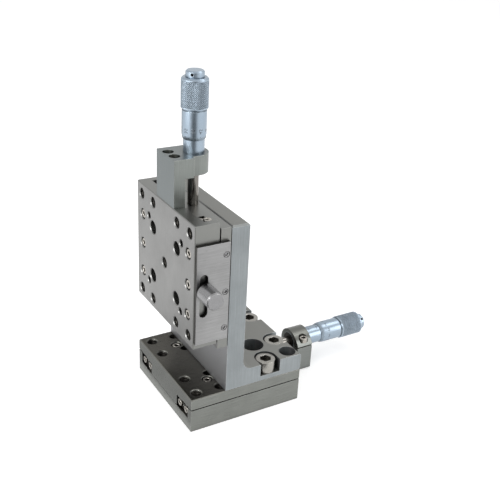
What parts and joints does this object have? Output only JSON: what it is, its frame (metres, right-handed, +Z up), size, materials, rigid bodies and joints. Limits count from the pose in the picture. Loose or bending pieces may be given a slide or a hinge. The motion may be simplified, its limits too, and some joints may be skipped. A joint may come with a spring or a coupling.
{
  "type": "two-axis linear translation stage",
  "caption": "Crossed-roller XZ positioning stage: a lower sliding table, an angle bracket and an upright sliding carriage, each moved by its own micrometer head.",
  "frame": {"origin": "middle of the base's underside", "axes": "+X along the lower travel towards its micrometer, +Z up along the upper travel, +Y completes the right-handed set (away from the upper lock screw)"},
  "size_m": [0.1211, 0.0858, 0.1641],
  "materials": {
    "stage_steel": "ground and nickel plated",
    "bracket_steel": "milled and nickel plated",
    "arm_steel": "milled and nickel plated",
    "lock_plate_steel": "ground and nickel plated",
    "rail_steel": "hardened and ground",
    "roller_steel": "hardened and lapped",
    "cage_brass": "stamped sheet",
    "screw_steel": "plain steel screws",
    "bright_steel": "turned, bright",
    "satin_chrome": "satin chrome plate",
    "spindle_steel": "hardened and ground",
    "anvil_steel": "hardened and lapped",
    "pin_steel": "drawn",
    "spring_steel": "drawn spring wire"
  },
  "bodies": {
    "base": {"x_base": "stage_steel", "x_outer_rail_left": "rail_steel", "x_outer_rail_right": "rail_steel", "x_outer_rail_screws": "screw_steel", "x_outer_end_screws": "screw_steel", "x_micrometer_arm": "arm_steel", "x_clamp_screw": "screw_steel", "x_arm_screws": "screw_steel", "x_sleeve": "satin_chrome", "x_body_spring_pins": "pin_steel"},
    "x_table": {"x_table": "stage_steel", "x_inner_rail_left": "rail_steel", "x_inner_rail_right": "rail_steel", "x_inner_rail_screws": "screw_steel", "x_inner_end_screws": "screw_steel", "x_anvil": "anvil_steel", "x_lock_plate": "lock_plate_steel", "x_lock_plate_screws": "bright_steel", "x_slide_spring_pins": "pin_steel", "x_return_springs": "spring_steel", "angle_bracket": "bracket_steel", "bracket_foot_bolts": "screw_steel", "bracket_back_bolts": "screw_steel", "z_back_plate": "stage_steel", "z_inner_rail_left": "rail_steel", "z_inner_rail_right": "rail_steel", "z_inner_rail_screws": "screw_steel", "z_inner_end_screws": "screw_steel", "z_anvil": "anvil_steel", "z_lock_plate": "lock_plate_steel", "z_lock_plate_screws": "bright_steel", "z_slide_spring_pins": "pin_steel", "z_return_springs": "spring_steel"},
    "x_cages": {"x_cage_left": "cage_brass", "x_cage_right": "cage_brass", "x_rollers": "roller_steel"},
    "x_thimble": {"x_spindle": "spindle_steel", "x_thimble": "satin_chrome", "x_thimble_cap": "satin_chrome"},
    "x_lock": {"x_lock_screw": "bright_steel"},
    "z_carriage": {"z_carriage": "stage_steel", "z_outer_rail_left": "rail_steel", "z_outer_rail_right": "rail_steel", "z_outer_rail_screws": "screw_steel", "z_outer_end_screws": "screw_steel", "z_micrometer_arm": "arm_steel", "z_clamp_screw": "screw_steel", "z_arm_screws": "screw_steel", "z_sleeve": "satin_chrome", "z_body_spring_pins": "pin_steel"},
    "z_cages": {"z_cage_left": "cage_brass", "z_cage_right": "cage_brass", "z_rollers": "roller_steel"},
    "z_thimble": {"z_spindle": "spindle_steel", "z_thimble": "satin_chrome", "z_thimble_cap": "satin_chrome"},
    "z_lock": {"z_lock_screw": "bright_steel"}
  },
  "joints": [
    {"name": "x_thimble_turn", "type": "hinge", "parent": "x_table", "child": "x_thimble", "pos_m": [0.03, 0, 0.0141], "axis": [1, 0, 0], "range_deg": [-4680, 4680]},
    {"name": "x_slide", "type": "slide", "parent": "base", "child": "x_table", "axis": [1, 0, 0], "range_m": [-0.0065, 0.0065], "deforming": ["x_return_springs"]},
    {"name": "x_cage_slide", "type": "slide", "parent": "base", "child": "x_cages", "axis": [1, 0, 0], "range_m": [-0.00325, 0.00325]},
    {"name": "x_lock_turn", "type": "hinge", "parent": "base", "child": "x_lock", "pos_m": [0, 0.036, 0.004], "axis": [0, -1, 0], "range_deg": [0, 216]},
    {"name": "z_thimble_turn", "type": "hinge", "parent": "x_table", "child": "z_thimble", "pos_m": [-0.0159, 0, 0.103], "axis": [0, 0, 1], "range_deg": [-2520, 6840]},
    {"name": "z_slide", "type": "slide", "parent": "x_table", "child": "z_carriage", "axis": [0, 0, 1], "range_m": [-0.0095, 0.0035], "deforming": ["z_return_springs"]},
    {"name": "z_cage_slide", "type": "slide", "parent": "x_table", "child": "z_cages", "axis": [0, 0, 1], "range_m": [-0.00475, 0.00175]},
    {"name": "z_lock_turn", "type": "hinge", "parent": "z_carriage", "child": "z_lock", "pos_m": [-0.026, -0.036, 0.076], "axis": [0, 1, 0], "range_deg": [0, 216]}
  ],
  "couplings": [
    {"joint": "x_thimble_turn", "follows": "x_slide", "rad_per_m": 12566},
    {"joint": "x_cage_slide", "follows": "x_slide", "ratio": 0.5},
    {"joint": "z_thimble_turn", "follows": "z_slide", "rad_per_m": -12566},
    {"joint": "z_cage_slide", "follows": "z_slide", "ratio": 0.5}
  ]
}
